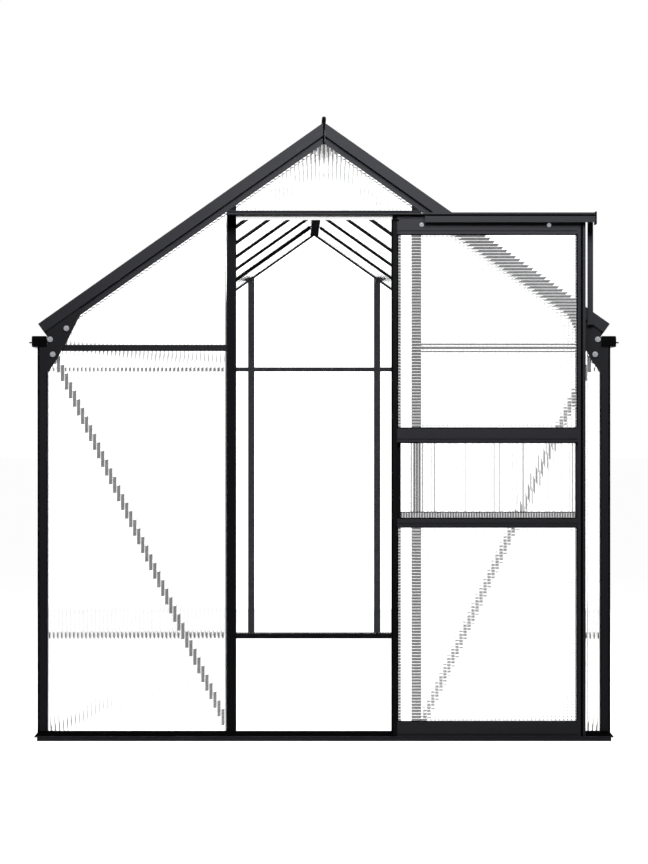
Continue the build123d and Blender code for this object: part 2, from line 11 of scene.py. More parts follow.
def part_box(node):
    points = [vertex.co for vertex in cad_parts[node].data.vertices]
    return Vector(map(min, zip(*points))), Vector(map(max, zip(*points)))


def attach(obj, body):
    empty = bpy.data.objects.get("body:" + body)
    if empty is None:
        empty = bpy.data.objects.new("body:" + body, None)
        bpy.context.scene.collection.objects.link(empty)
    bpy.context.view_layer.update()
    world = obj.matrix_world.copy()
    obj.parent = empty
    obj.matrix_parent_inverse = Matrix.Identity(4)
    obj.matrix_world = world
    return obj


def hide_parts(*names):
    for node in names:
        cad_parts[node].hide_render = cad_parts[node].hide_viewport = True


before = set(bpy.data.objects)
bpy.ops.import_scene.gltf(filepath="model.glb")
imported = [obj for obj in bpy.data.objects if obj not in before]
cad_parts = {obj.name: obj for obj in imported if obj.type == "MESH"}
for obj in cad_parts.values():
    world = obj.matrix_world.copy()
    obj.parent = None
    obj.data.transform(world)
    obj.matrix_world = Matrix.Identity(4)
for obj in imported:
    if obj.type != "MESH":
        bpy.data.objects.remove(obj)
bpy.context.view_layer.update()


# Aluminium frame: rails, gutters, rafters, tracks and most of the door are extrusions, sawn to
# length and powder coated in anthracite. The coat has a fine orange peel, and its gloss wanders a
# little over each piece.
class Wire:
    """A socket of a node tree; sums and products of wires add Math nodes."""

    def __init__(self, socket):
        self.socket = socket
        self.tree = socket.id_data

    @staticmethod
    def node(tree, kind, settings=None, sockets=None, out=0):
        """Add a node: its settings first, then the values or wires of its sockets."""
        made = tree.nodes.new(kind)
        for name, value in (settings or {}).items():
            setattr(made, name, value)
        for key, value in (sockets or {}).items():
            if isinstance(value, Wire):
                tree.links.new(value.socket, made.inputs[key])
            else:
                made.inputs[key].default_value = value
        return Wire(made.outputs[out]) if made.outputs else made

    def math(self, operation, first, second=0.0):
        return Wire.node(self.tree, "ShaderNodeMath", {"operation": operation}, {0: first, 1: second})

    def __add__(self, other):
        return self.math("ADD", self, other)

    def __radd__(self, other):
        return self.math("ADD", other, self)

    def __sub__(self, other):
        return self.math("SUBTRACT", self, other)

    def __rsub__(self, other):
        return self.math("SUBTRACT", other, self)

    def __mul__(self, other):
        return self.math("MULTIPLY", self, other)

    def __rmul__(self, other):
        return self.math("MULTIPLY", other, self)

    def __truediv__(self, other):
        return self.math("DIVIDE", self, other)

    def __rtruediv__(self, other):
        return self.math("DIVIDE", other, self)

    def __neg__(self):
        return self.math("MULTIPLY", self, -1.0)

    def __abs__(self):
        return self.math("ABSOLUTE", self)


def blank_finish(name):
    """A new material with an empty node tree."""
    finish = bpy.data.materials.new(name)
    finish.use_nodes = True
    tree = finish.node_tree
    tree.nodes.clear()
    return finish, tree


def coated(name, colour, paler, roughness, sheen, grain, peel):
    """A matt or satin coat: two close colours in soft clouds, wandering gloss and a fine peel."""
    cloud_scale, gloss_wander, peel_depth = 2.3, 0.05, 0.0003
    finish, tree = blank_finish(name)
    place = Wire.node(tree, "ShaderNodeTexCoord", out="Object")
    cloud = Wire.node(
        tree, "ShaderNodeTexNoise", {}, {"Vector": place, "Scale": cloud_scale, "Detail": 3.0}
    )
    speck = Wire.node(tree, "ShaderNodeTexNoise", {}, {"Vector": place, "Scale": grain, "Detail": 2.0})
    shade = Wire.node(
        tree, "ShaderNodeMix", {"data_type": "RGBA"},
        {0: cloud, 6: (*colour, 1.0), 7: (*paler, 1.0)}, out=2,
    )
    bump = Wire.node(
        tree, "ShaderNodeBump", {}, {"Strength": peel, "Distance": peel_depth, "Height": speck}
    )
    surface = Wire.node(
        tree, "ShaderNodeBsdfPrincipled", {},
        {
            "Base Color": shade,
            "Roughness": roughness - gloss_wander + 2 * gloss_wander * cloud,
            "Specular IOR Level": sheen,
            "Normal": bump,
        },
    )
    Wire.node(tree, "ShaderNodeOutputMaterial", {}, {"Surface": surface})
    return finish


def cover(nodes, finish):
    """Give CAD pieces a finish."""
    for node in nodes:
        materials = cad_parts[node].data.materials
        materials.clear()
        materials.append(finish)


anthracite = coated(
    "anthracite_coat", colour=(0.022, 0.0223, 0.0254), paler=(0.027, 0.0274, 0.0311),
    roughness=0.42, sheen=0.02, grain=700.0, peel=0.12,
)
cover(
    [
        "back_gable_posts", "back_mid_rails", "left_gutter", "right_gutter", "gable_rafters",
        "diagonal_braces", "roof_vent_frame", "door_header", "door_track", "track_lip",
        "track_guide_bar", "track_strut", "door_right_stile", "door_top_rail", "door_upper_rail",
        "door_lower_rail", "door_bottom_rail",
    ],
    anthracite,
)

# Corner posts, gusset plates and front rails: the posts and rails are extrusions, the gussets cut
# from plate and bolted on. They have the same anthracite coat, but their colour is set a shade
# darker than the rest: painted shade.
painted_shade_anthracite = coated(
    "painted_shade_anthracite", colour=(0.0140, 0.0142, 0.0162), paler=(0.0172, 0.0175, 0.0198),
    roughness=0.42, sheen=0.02, grain=700.0, peel=0.12,
)
cover(["corner_posts", "gusset_plates", "front_mid_rails"], painted_shade_anthracite)

# Door posts, leading stile, bars and ridge: the same extrusions with a dry matt coat that shows no
# sheen when the eye runs along them. Their colour, far darker than the anthracite, is painted
# shade.
matt_painted_shade_anthracite = coated(
    "matt_painted_shade_anthracite", colour=(0.006, 0.0061, 0.0069), paler=(0.008, 0.0082, 0.0092),
    roughness=0.75, sheen=0.0, grain=700.0, peel=0.1,
)
cover(
    ["front_door_posts", "door_left_stile", "wall_bars", "roof_bars", "ridge_beam", "roof_vent_bar"],
    matt_painted_shade_anthracite,
)

# Base: extruded sills, coated black against the wet ground, with a paler track for the door
# screwed on in front of the gable.
black_base = coated(
    "black_base", colour=(0.0040, 0.0040, 0.0047), paler=(0.0055, 0.0055, 0.0062),
    roughness=0.5, sheen=0.01, grain=600.0, peel=0.12,
)
cover(["front_sill", "back_sill", "side_sills"], black_base)
track_grey = coated(
    "track_grey", colour=(0.0165, 0.0167, 0.0190), paler=(0.0205, 0.0208, 0.0234),
    roughness=0.4, sheen=0.03, grain=700.0, peel=0.1,
)
cover(["door_floor_track", "floor_track_lip"], track_grey)

# Moulded plastic: gutter end caps, the track's end cap, the door's guides and rollers. Black
# polypropylene, matt from the mould, pushed or clipped into the ends of the extrusions.
moulded = coated(
    "black_mould", colour=(0.0008, 0.0008, 0.0009), paler=(0.0014, 0.0014, 0.0015),
    roughness=0.55, sheen=0.02, grain=350.0, peel=0.2,
)
cover(["gutter_end_caps", "track_end_cap", "door_top_guides", "door_rollers"], moulded)


# Sheets: 4 mm twin-wall polycarbonate, extruded in long cells and cut to each opening. Both skins
# swell a little over each cell, so a cell works as a weak lens, and the ribs between the cells
# catch the light as white lines.
def loose_solids(node):
    """The corner points of each solid of a CAD piece."""
    weld = 1e-5
    mesh = bmesh.new()
    mesh.from_mesh(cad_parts[node].data)
    bmesh.ops.remove_doubles(mesh, verts=mesh.verts, dist=weld)
    waiting, solids = set(mesh.verts), []
    while waiting:
        group, edge = [], [waiting.pop()]
        while edge:
            corner = edge.pop()
            group.append(tuple(corner.co))
            near = {link.other_vert(corner) for link in corner.link_edges} & waiting
            waiting -= near
            edge.extend(near)
        solids.append(np.array(group))
    mesh.free()
    return sorted(solids, key=lambda points: tuple(points.mean(0)))


def geometry_tree(name, sizes):
    """An empty geometry tree with named inputs, and a wire from each of them."""
    tree = bpy.data.node_groups.new(name, "GeometryNodeTree")
    tree.interface.new_socket("Geometry", in_out="OUTPUT", socket_type="NodeSocketGeometry")
    tree.interface.new_socket("Spots", in_out="INPUT", socket_type="NodeSocketGeometry")
    for size, kind in sizes.items():
        tree.interface.new_socket(size, in_out="INPUT", socket_type=kind)
    ports = tree.nodes.new("NodeGroupInput")
    return tree, {size: Wire(ports.outputs[size]) for size in ("Spots", *sizes)}


def grown(tree, sizes, place, spots=()):
    """The plain mesh that a geometry tree makes for some sizes, put in its place."""
    points = bpy.data.meshes.new("carrier")
    points.from_pydata(spots, [], [])
    carrier = bpy.data.objects.new("carrier", points)
    bpy.context.scene.collection.objects.link(carrier)
    modifier = carrier.modifiers.new("growth", "NODES")
    modifier.node_group = tree
    for item in tree.interface.items_tree:
        if item.item_type == "SOCKET" and item.in_out == "INPUT" and item.name in sizes:
            modifier[item.identifier] = sizes[item.name]
    graph = bpy.context.evaluated_depsgraph_get()
    mesh = bpy.data.meshes.new_from_object(
        carrier.evaluated_get(graph), preserve_all_data_layers=True, depsgraph=graph
    )
    carrier.modifiers.remove(modifier)
    bpy.data.objects.remove(carrier)
    mesh.transform(place)
    return mesh


def ribbed_sheet_tree():
    """A sheet with cells along its second axis: both faces swell over each cell."""
    facets, weld = 8, 1e-6
    tree, size = geometry_tree(
        "ribbed_sheet",
        {
            "Width": "NodeSocketFloat", "Low": "NodeSocketFloat", "High": "NodeSocketFloat",
            "Slope": "NodeSocketFloat", "Peak": "NodeSocketFloat", "Cells": "NodeSocketInt",
            "Swell": "NodeSocketFloat", "Thickness": "NodeSocketFloat",
            "Finish": "NodeSocketMaterial",
        },
    )
    grid = Wire.node(
        tree, "GeometryNodeMeshGrid", {},
        {
            "Size X": size["Width"], "Size Y": 1.0,
            "Vertices X": size["Cells"] * facets + 1, "Vertices Y": 2,
        },
    )
    spot = Wire.node(tree, "GeometryNodeInputPosition")
    split = Wire.node(tree, "ShaderNodeSeparateXYZ", {}, {"Vector": spot}).socket.node
    spot_x, spot_y, spot_z = (Wire(split.outputs[axis]) for axis in "XYZ")
    across = spot_x + size["Width"] / 2
    share = spot_y + 0.5
    crown = size["High"] - size["Slope"] * abs(across - size["Peak"])
    along = size["Low"] + share * (crown - size["Low"])
    cell = across / size["Width"] * size["Cells"]
    off_centre = abs(cell.math("FRACT", cell) * 2 - 1)
    fall = size["Swell"] * off_centre * off_centre
    face = Wire.node(
        tree, "GeometryNodeSetPosition", {},
        {
            "Geometry": grid,
            "Position": Wire.node(
                tree, "ShaderNodeCombineXYZ", {}, {"X": across, "Y": along, "Z": -fall}
            ),
        },
    )
    shell = Wire.node(
        tree, "GeometryNodeExtrudeMesh", {"mode": "FACES"},
        {
            "Mesh": face, "Individual": False, "Offset Scale": 1.0,
            "Offset": Wire.node(tree, "ShaderNodeCombineXYZ", {}, {"Z": -size["Thickness"]}),
        },
    )
    back = Wire.node(
        tree, "GeometryNodeSetPosition", {},
        {
            "Geometry": shell,
            "Selection": Wire(shell.socket.node.outputs["Top"]),
            "Position": Wire.node(
                tree, "ShaderNodeCombineXYZ", {},
                {"X": spot_x, "Y": spot_y, "Z": -2 * size["Thickness"] - spot_z},
            ),
        },
    )
    turned = Wire.node(tree, "GeometryNodeFlipFaces", {}, {"Mesh": back})
    join = tree.nodes.new("GeometryNodeJoinGeometry")
    tree.links.new(face.socket, join.inputs[0])
    tree.links.new(turned.socket, join.inputs[0])
    closed = Wire.node(
        tree, "GeometryNodeMergeByDistance", {}, {"Geometry": Wire(join.outputs[0]), "Distance": weld}
    )
    outer = spot_z.math("GREATER_THAN", spot_z, size["Thickness"] * -0.5)
    cells_across = spot_x / size["Width"] * size["Cells"]
    mapped = Wire.node(
        tree, "GeometryNodeStoreNamedAttribute", {"data_type": "FLOAT2", "domain": "CORNER"},
        {
            "Geometry": closed, "Name": "UVMap",
            "Value": Wire.node(
                tree, "ShaderNodeCombineXYZ", {},
                {"X": cells_across * outer + 0.5 * (1 - outer), "Y": spot_y},
            ),
        },
    )
    realized = Wire.node(tree, "GeometryNodeRealizeInstances", {}, {"Geometry": mapped})
    painted = Wire.node(
        tree, "GeometryNodeSetMaterial", {}, {"Geometry": realized, "Material": size["Finish"]}
    )
    Wire.node(tree, "NodeGroupOutput", {}, {"Geometry": painted})
    return tree


def clear_sheet_finish(name, tint, bending, film, rib_shine):
    """Clear polycarbonate: its tint, its refractive index, the mirror of its skin and of its ribs."""
    rib_start, rib_full, polish, shadow_left = 0.70, 0.88, 0.02, 0.94
    finish, tree = blank_finish(name)
    cells = Wire.node(
        tree, "ShaderNodeSeparateXYZ", {}, {"Vector": Wire.node(tree, "ShaderNodeTexCoord", out="UV")}
    )
    off_centre = abs(cells.math("FRACT", cells) * 2 - 1)
    rib = Wire.node(
        tree, "ShaderNodeMapRange", {"interpolation_type": "SMOOTHSTEP"},
        {"Value": off_centre, "From Min": rib_start, "From Max": rib_full},
    )
    clear = Wire.node(
        tree, "ShaderNodeBsdfPrincipled", {},
        {
            "Base Color": (*tint, 1.0), "Roughness": polish, "IOR": bending,
            "Transmission Weight": 1.0, "Metallic": film + rib_shine * rib,
        },
    )
    shade = Wire.node(
        tree, "ShaderNodeBsdfTransparent", {}, {"Color": (shadow_left, shadow_left, shadow_left, 1.0)}
    )
    shadow = Wire.node(tree, "ShaderNodeLightPath", out="Is Shadow Ray")
    surface = Wire.node(tree, "ShaderNodeMixShader", {}, {0: shadow, 1: clear, 2: shade})
    Wire.node(tree, "ShaderNodeOutputMaterial", {}, {"Surface": surface})
    return finish


def facing(along, outward):
    """The turn that lays a flat face's own up and out along two directions."""
    along, outward = Vector(along), Vector(outward)
    return Matrix((along.cross(outward), along, outward)).transposed().to_4x4()


lens_sheet = clear_sheet_finish(
    "twin_wall_lens", tint=(0.960, 0.962, 0.962), bending=1.58, film=0.06, rib_shine=0.85
)
far_sheet = clear_sheet_finish(
    "twin_wall_far", tint=(0.983, 0.984, 0.984), bending=1.12, film=0.0, rib_shine=0.35
)
side_sheet = clear_sheet_finish(
    "twin_wall_side", tint=(0.912, 0.920, 0.922), bending=1.12, film=0.0, rib_shine=0.35
)
sheet_tree = ribbed_sheet_tree()
sheet_thickness = 0.004


def ribbed(name, node, body, turn, cell, swell, finish):
    """Stand ribbed sheets in for the plain ones of a CAD piece, one for each of its solids."""
    same_place, facet_angle = 1e-4, radians(15)
    axes = np.array(turn.to_3x3().transposed())
    whole = bmesh.new()
    for points in loose_solids(node):
        u, v, w = axes @ points.T
        top = {round(edge, 4): v[abs(u - edge) < same_place].max() for edge in u}
        peak, high = max(top.items(), key=lambda item: item[1])
        far = max(top, key=lambda edge: abs(edge - peak))
        place = turn @ Matrix.Translation((u.min(), 0.0, w.max()))
        mesh = grown(
            sheet_tree,
            {
                "Width": float(np.ptp(u)), "Low": float(v.min()), "High": float(high),
                "Slope": float((high - top[far]) / abs(far - peak)), "Peak": float(peak - u.min()),
                "Cells": round(np.ptp(u) / cell), "Swell": swell,
                "Thickness": sheet_thickness, "Finish": finish,
            },
            place,
        )
        whole.from_mesh(mesh)
        bpy.data.meshes.remove(mesh)
    mesh = bpy.data.meshes.new(name)
    whole.to_mesh(mesh)
    whole.free()
    mesh.materials.append(finish)
    mesh.shade_smooth()
    mesh.set_sharp_from_angle(angle=facet_angle)
    sheets = bpy.data.objects.new(name, mesh)
    bpy.context.scene.collection.objects.link(sheets)
    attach(sheets, body)
    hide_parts(node)


up = (0, 0, 1)
roof_pitch = radians(35.2)
front, back = facing(up, (0, -1, 0)), facing(up, (0, 1, 0))
right, left = facing(up, (1, 0, 0)), facing(up, (-1, 0, 0))
right_slope = facing((-cos(roof_pitch), 0, sin(roof_pitch)), (sin(roof_pitch), 0, cos(roof_pitch)))
left_slope = facing((cos(roof_pitch), 0, sin(roof_pitch)), (-sin(roof_pitch), 0, cos(roof_pitch)))
lying_front = facing((1, 0, 0), (0, -1, 0))
wide_cell, door_cell, fine_cell = 0.013, 0.0098, 0.0084
gable_swell, door_swell, slight_swell = 0.0011, 0.0007, 0.0003
for name, node, turn, swell, finish in (
    ("front_gable_sheets", "front_gable_panels", front, gable_swell, lens_sheet),
    ("back_gable_sheets", "back_gable_panels", back, slight_swell, far_sheet),
    ("right_wall_sheets", "right_wall_panels", right, slight_swell, side_sheet),
    ("left_wall_sheets", "left_wall_panels", left, slight_swell, side_sheet),
    ("right_roof_sheets", "right_roof_panels", right_slope, slight_swell, side_sheet),
    ("left_roof_sheets", "left_roof_panels", left_slope, slight_swell, side_sheet),
    ("vent_sheet", "roof_vent_panel", left_slope, slight_swell, side_sheet),
):
    ribbed(name, node, "shell", turn, wide_cell, swell, finish)
for name, node, turn, cell in (
    ("door_upper_sheet", "door_upper_panel", lying_front, door_cell),
    ("door_middle_sheet", "door_middle_panel", front, fine_cell),
    ("door_lower_sheet", "door_lower_panel", lying_front, door_cell),
):
    ribbed(name, node, "sliding_door", turn, cell, door_swell, lens_sheet)


# Closing tape: the open cells at the foot of the sheet over the doorway are closed with bright
# aluminium tape, folded round the edge from below.
def prism(mesh, outline, axis, start, end):
    """Add a bar to a mesh: an outline of points run along an axis."""
    turn = {"x": (2, 0, 1), "y": (0, 2, 1), "z": (0, 1, 2)}[axis]
    rings = [
        [mesh.verts.new([(a, b, place)[part] for part in turn]) for a, b in outline]
        for place in (start, end)
    ]
    for ring in rings:
        mesh.faces.new(ring)
    for here in range(len(outline)):
        mesh.faces.new(
            (rings[0][here - 1], rings[0][here], rings[1][here], rings[1][here - 1])
        )


def finished(name, mesh, finish, body, soften=0.0):
    """Make a piece of a mesh: soften its edges, coat it and let it ride on a body."""
    corner_angle, crease_angle = radians(40), radians(35)
    bmesh.ops.recalc_face_normals(mesh, faces=mesh.faces)
    if soften:
        sharp = [edge for edge in mesh.edges if edge.calc_face_angle() > corner_angle]
        bmesh.ops.bevel(mesh, geom=sharp, offset=soften, segments=2, profile=0.5, affect="EDGES")
    data = bpy.data.meshes.new(name)
    mesh.to_mesh(data)
    mesh.free()
    data.materials.append(finish)
    data.shade_smooth()
    data.set_sharp_from_angle(angle=crease_angle)
    piece = bpy.data.objects.new(name, data)
    bpy.context.scene.collection.objects.link(piece)
    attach(piece, body)


def bright_metal(name, colour, roughness):
    """Bare or plated metal with a faint cloudy haze."""
    haze_scale, haze_depth = 260.0, 0.2
    finish, tree = blank_finish(name)
    place = Wire.node(tree, "ShaderNodeTexCoord", out="Object")
    haze = Wire.node(
        tree, "ShaderNodeTexNoise", {}, {"Vector": place, "Scale": haze_scale, "Detail": 3.0}
    )
    surface = Wire.node(
        tree, "ShaderNodeBsdfPrincipled", {},
        {"Base Color": (*colour, 1.0), "Metallic": 1.0, "Roughness": roughness + haze_depth * haze},
    )
    Wire.node(tree, "ShaderNodeOutputMaterial", {}, {"Surface": surface})
    return finish


bright_tape = bright_metal("bright_tape", (0.96, 0.96, 0.96), 0.05)
tape_wall, tape_rise, post_overlap = 0.0008, 0.0132, 0.0235
tape_gap = tape_wall / 4
header_low, header_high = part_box("door_header")
sheet_low, sheet_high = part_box("front_gable_panels")
half_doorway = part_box("front_door_posts")[1].x - post_overlap
tape_top = header_low.z
tape_foot = tape_top - tape_rise
closing = bmesh.new()
prism(
    closing,
    [
        (sheet_low.y - tape_wall, tape_top), (sheet_low.y - tape_wall, tape_foot - tape_wall),
        (sheet_high.y + tape_wall, tape_foot - tape_wall), (sheet_high.y + tape_wall, tape_top),
        (sheet_high.y + tape_gap, tape_top), (sheet_high.y + tape_gap, tape_foot),
        (sheet_low.y - tape_gap, tape_foot), (sheet_low.y - tape_gap, tape_top),
    ],
    "x", -half_doorway, half_doorway,
)
finished("head_sheet_tape", closing, bright_tape, "shell")

# Seals: black rubber beads pressed into the corner posts, the door's stiles, the header and the
# track's lip, and slim gaskets where the door's sheets meet its frame. The beads and two more black
# strips on the door are also painted shade: they darken grooves and edges where shade falls.
rubber_and_shade = coated(
    "black_rubber_and_painted_shade", colour=(0.001, 0.001, 0.0011), paler=(0.0016, 0.0016, 0.0017),
    roughness=0.7, sheen=0.01, grain=500.0, peel=0.2,
)


def bead(low, high, base, rise, arc=6):
    """The outline of a half-round strip between two edges, standing on a base."""
    return [
        (low + (high - low) * step / arc, base + rise * sin(pi * step / arc)) for step in range(arc + 1)
    ]


def lying_bead(low, high, base, rise):
    """The same strip with its width upright."""
    return [(out, across) for across, out in bead(low, high, base, rise)]


post_low, post_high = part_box("corner_posts")
gusset_low, gusset_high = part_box("gusset_plates")
rib_rise, rib_outer, rib_inner, flange_edge = 0.003, 0.0068, 0.0292, 0.0335
corner_strip_rise, corner_strip_inset = 0.0012, 0.0003
front_flange, back_flange = post_low.y + rib_rise, post_high.y - rib_rise
# Black beads in the recessed flanges beside each post's rib: painted shade along the rib's edges.
corner_seals_and_shade = bmesh.new()
for base, rise in ((front_flange, -corner_strip_rise), (back_flange, corner_strip_rise)):
    for side in (-1, 1):
        edge = side * post_high.x
        outer = bead(edge - side * corner_strip_inset, edge - side * rib_outer, base, rise)
        inner = bead(edge - side * rib_inner, edge - side * flange_edge, base, rise)
        prism(corner_seals_and_shade, outer, "z", post_low.z, post_high.z)
        prism(corner_seals_and_shade, inner, "z", post_low.z, gusset_low.z)
finished("corner_seals_and_shade", corner_seals_and_shade, rubber_and_shade, "shell")

lip_low, lip_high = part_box("track_lip")
lip_strip_foot, lip_strip_top, strip_rise = 0.0120, 0.0056, 0.0007
# A black strip near the top of the track's lip: painted shade in its groove.
lip_seal_and_shade = bmesh.new()
prism(
    lip_seal_and_shade,
    lying_bead(lip_high.z - lip_strip_foot, lip_high.z - lip_strip_top, lip_low.y, -strip_rise),
    "x", lip_low.x, lip_high.x,
)
finished("track_lip_seal_and_shade", lip_seal_and_shade, rubber_and_shade, "shell")

groove_drop, groove_width, groove_floor = 0.0033, 0.0032, 0.004
header_strip_rise, header_strip_overrun = 0.0030, 0.006
groove_top = header_high.z - groove_drop
# A black strip in the header's groove: painted shade under the groove's upper edge.
header_seal_and_shade = bmesh.new()
prism(
    header_seal_and_shade,
    lying_bead(groove_top - groove_width, groove_top, header_low.y + groove_floor, -header_strip_rise),
    "x", header_low.x, header_high.x + header_strip_overrun,
)
finished("header_seal_and_shade", header_seal_and_shade, rubber_and_shade, "shell")

left_low, left_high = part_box("door_left_stile")
trailing_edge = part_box("door_right_stile")[1].x
leading_start, leading_end = 0.0003, 0.0050
trailing_start, trailing_end = 0.0159, 0.0085
door_seals_and_shade = bmesh.new()
# Black beads along the edges of both stiles: painted shade at the stiles' edges.
for low, high in (
    (left_low.x + leading_start, left_low.x + leading_end),
    (trailing_edge - trailing_start, trailing_edge - trailing_end),
):
    prism(door_seals_and_shade, bead(low, high, left_low.y, -strip_rise), "z", left_low.z, left_high.z)
gasket, gasket_tuck, gasket_rise, gasket_step = 0.0026, 0.001, 0.0016, 0.0004
for sheet in ("door_upper_panel", "door_middle_panel", "door_lower_panel"):
    low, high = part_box(sheet)
    face = low.y - gasket_step
    for edge, sense in ((low.x, 1), (high.x, -1)):
        upright = bead(edge - sense * gasket_tuck, edge + sense * gasket, face, -gasket_rise)
        prism(door_seals_and_shade, upright, "z", low.z, high.z)
    for edge, sense in ((low.z, 1), (high.z, -1)):
        level = lying_bead(edge - sense * gasket_tuck, edge + sense * gasket, face, -gasket_rise)
        prism(door_seals_and_shade, level, "x", low.x, high.x)
# A black strip across the foot of the middle sheet: painted shade, a dark band there.
fine_low, fine_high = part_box("door_middle_panel")
foot_bead_place, foot_bead_width, foot_bead_rise = 0.0190, 0.0028, 0.0008
foot_bead = fine_low.z + foot_bead_place
prism(
    door_seals_and_shade,
    lying_bead(foot_bead, foot_bead + foot_bead_width, fine_low.y - gasket_step, -foot_bead_rise),
    "x", fine_low.x, fine_high.x,
)
# A black strip in the top rail's groove: painted shade in the groove.
top_low, top_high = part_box("door_top_rail")
rail_groove, rail_groove_width, rail_groove_floor = 0.009, 0.002, 0.0015
groove_low = top_low.z + rail_groove
groove_base = top_low.y + rail_groove_floor
prism(
    door_seals_and_shade,
    lying_bead(groove_low, groove_low + rail_groove_width, groove_base, -rail_groove_floor),
    "x", top_low.x, top_high.x,
)
finished("door_seals_and_shade", door_seals_and_shade, rubber_and_shade, "sliding_door")

# Ridge ends: a moulded cap closes each end of the ridge beam, from its round bead down to the foot
# of the rafters.
ridge_low, ridge_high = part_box("ridge_beam")
rafter_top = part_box("gable_rafters")[1].z
nose_half, bulb_half, bulb_height, bulb_inset = 0.0029, 0.0063, 0.0140, 0.0003
nose_drop, cap_thickness, moulded_edge, crown_steps = 0.0673, 0.0014, 0.0003, 10
bulb_middle = ridge_high.z - bulb_half - bulb_inset
nose_foot = rafter_top - nose_drop
neck = ridge_high.z - bulb_height
crown_angles = [pi * step / crown_steps for step in range(crown_steps + 1)]
nose = [
    (nose_half, nose_foot), (nose_half, neck), (bulb_half, neck),
    *((bulb_half * cos(angle), bulb_middle + bulb_half * sin(angle)) for angle in crown_angles),
    (-bulb_half, neck), (-nose_half, neck), (-nose_half, nose_foot),
]
ridge_caps = bmesh.new()
prism(ridge_caps, nose, "y", ridge_low.y - cap_thickness, ridge_low.y)
prism(ridge_caps, nose, "y", ridge_high.y, ridge_high.y + cap_thickness)
finished("ridge_caps", ridge_caps, moulded, "shell", moulded_edge)

# Door hangers: a coated plate holds each pair of top guides to the door, and a moulded plug closes
# the top of the leading stile.
guide_low, guide_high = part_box("door_top_guides")
plate_thickness, plate_rise, plate_setback, plate_edge = 0.0014, 0.0097, 0.0130, 0.0004
guide_length = 0.103
plate_front, plate_top = guide_low.y - plate_thickness, guide_low.z + plate_rise
plate = [
    (plate_front, guide_low.z), (guide_low.y, guide_low.z),
    (guide_low.y, plate_top), (plate_front, plate_top),
]
hangers = bmesh.new()
prism(hangers, plate, "x", guide_low.x + plate_setback, guide_low.x + guide_length)
prism(hangers, plate, "x", guide_high.x - guide_length, guide_high.x - plate_setback)
finished("guide_hangers", hangers, anthracite, "sliding_door", plate_edge)

plug_start, plug_end = left_low.x + 0.0052, left_low.x + 0.0240
plug_foot, plug_top = left_high.z - 0.0065, left_high.z - 0.0003
plug_rise = 0.0010
plug = bmesh.new()
prism(
    plug,
    [(plug_start, plug_foot), (plug_end, plug_foot), (plug_end, plug_top), (plug_start, plug_top)],
    "y", left_low.y - plug_rise, left_low.y,
)
finished("stile_plug", plug, moulded, "sliding_door", moulded_edge)


# Bolts: zinc-plated socket bolts on flat washers hold the gusset plates and the door's hangers,
# and smaller ones the ends of the wall and roof bars.
def bolt_tree(finish):
    """A washer with a socket-headed bolt on every point."""
    washer_sides, head_sides = 28, 24
    washer_top_share, head_top_share, socket_depth_share = 0.47, 0.42, 0.7
    measures = ("Washer", "Washer Thickness", "Head", "Head Height", "Socket")
    tree, size = geometry_tree("bolts", {measure: "NodeSocketFloat" for measure in measures})
    washer = Wire.node(
        tree, "GeometryNodeMeshCone", {},
        {
            "Vertices": washer_sides, "Radius Bottom": size["Washer"] * 0.5,
            "Radius Top": size["Washer"] * washer_top_share, "Depth": size["Washer Thickness"],
        },
    )
    head = Wire.node(
        tree, "GeometryNodeMeshCone", {},
        {
            "Vertices": head_sides, "Radius Bottom": size["Head"] * 0.5,
            "Radius Top": size["Head"] * head_top_share, "Depth": size["Head Height"],
        },
    )
    rim = Wire.node(
        tree, "GeometryNodeExtrudeMesh", {"mode": "FACES"},
        {
            "Mesh": head, "Selection": Wire(head.socket.node.outputs["Top"]),
            "Offset Scale": 0.0, "Individual": False,
        },
    )
    top = Wire(rim.socket.node.outputs["Top"])
    inset = Wire.node(
        tree, "GeometryNodeScaleElements", {"domain": "FACE"},
        {"Geometry": rim, "Selection": top, "Scale": size["Socket"] / size["Head"]},
    )
    socket = Wire.node(
        tree, "GeometryNodeExtrudeMesh", {"mode": "FACES"},
        {
            "Mesh": inset, "Selection": top,
            "Offset Scale": size["Head Height"] * -socket_depth_share, "Individual": False,
        },
    )
    raised = Wire.node(
        tree, "GeometryNodeTransform", {},
        {
            "Geometry": socket,
            "Translation": Wire.node(tree, "ShaderNodeCombineXYZ", {}, {"Z": size["Washer Thickness"]}),
        },
    )
    bolt = tree.nodes.new("GeometryNodeJoinGeometry")
    tree.links.new(washer.socket, bolt.inputs[0])
    tree.links.new(raised.socket, bolt.inputs[0])
    placed = Wire.node(
        tree, "GeometryNodeInstanceOnPoints", {},
        {"Points": size["Spots"], "Instance": Wire(bolt.outputs[0])},
    )
    realized = Wire.node(tree, "GeometryNodeRealizeInstances", {}, {"Geometry": placed})
    painted = Wire.node(tree, "GeometryNodeSetMaterial", {}, {"Geometry": realized, "Material": finish})
    Wire.node(tree, "NodeGroupOutput", {}, {"Geometry": painted})
    return tree


bright_zinc = bright_metal("bright_zinc", (0.37, 0.375, 0.39), 0.25)
bolts = bolt_tree(bright_zinc)


def bolted(name, body, places, washer, thickness, head, height, socket):
    """Bolts of one size on several flat faces: for each face its turn and its spots."""
    whole = bmesh.new()
    sizes = {
        "Washer": washer, "Washer Thickness": thickness, "Head": head, "Head Height": height,
        "Socket": socket,
    }
    for turn, spots in places:
        mesh = grown(bolts, sizes, turn, spots)
        whole.from_mesh(mesh)
        bpy.data.meshes.remove(mesh)
    finished(name, whole, bright_zinc, body)


